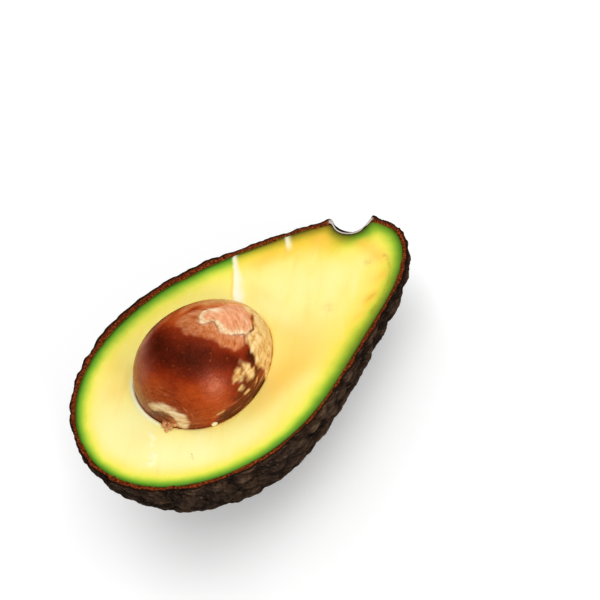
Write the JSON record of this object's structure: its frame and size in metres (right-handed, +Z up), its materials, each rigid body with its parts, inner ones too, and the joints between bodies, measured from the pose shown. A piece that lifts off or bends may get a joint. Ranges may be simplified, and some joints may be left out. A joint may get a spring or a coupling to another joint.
{
  "type": "halved avocado",
  "caption": "Ripe rough-skinned avocado cut in half lengthwise, lying cut face up on the round side of its dark warty skin, with the whole seed still in the flesh.",
  "frame": {"origin": "on the surface that the half lies on, under the middle of its box", "axes": "+X along the fruit, towards the stem end; +Z up, out of the cut face; +Y completes a right-handed frame, and the stalk pit is on its side"},
  "size_m": [0.1082, 0.0704, 0.0527],
  "materials": {
    "skin": "dull, tough warty rind, nearly black brown, rust brown where it is cut",
    "flesh": "soft, moist and buttery, cream at the middle, yellow further out and green next to the skin",
    "seed": "hard, smooth and glossy red brown, with a pale tan end where its papery coat has come off"
  },
  "bodies": {
    "root": {"skin": "skin", "flesh": "flesh", "seed": "seed"}
  },
  "joints": []
}
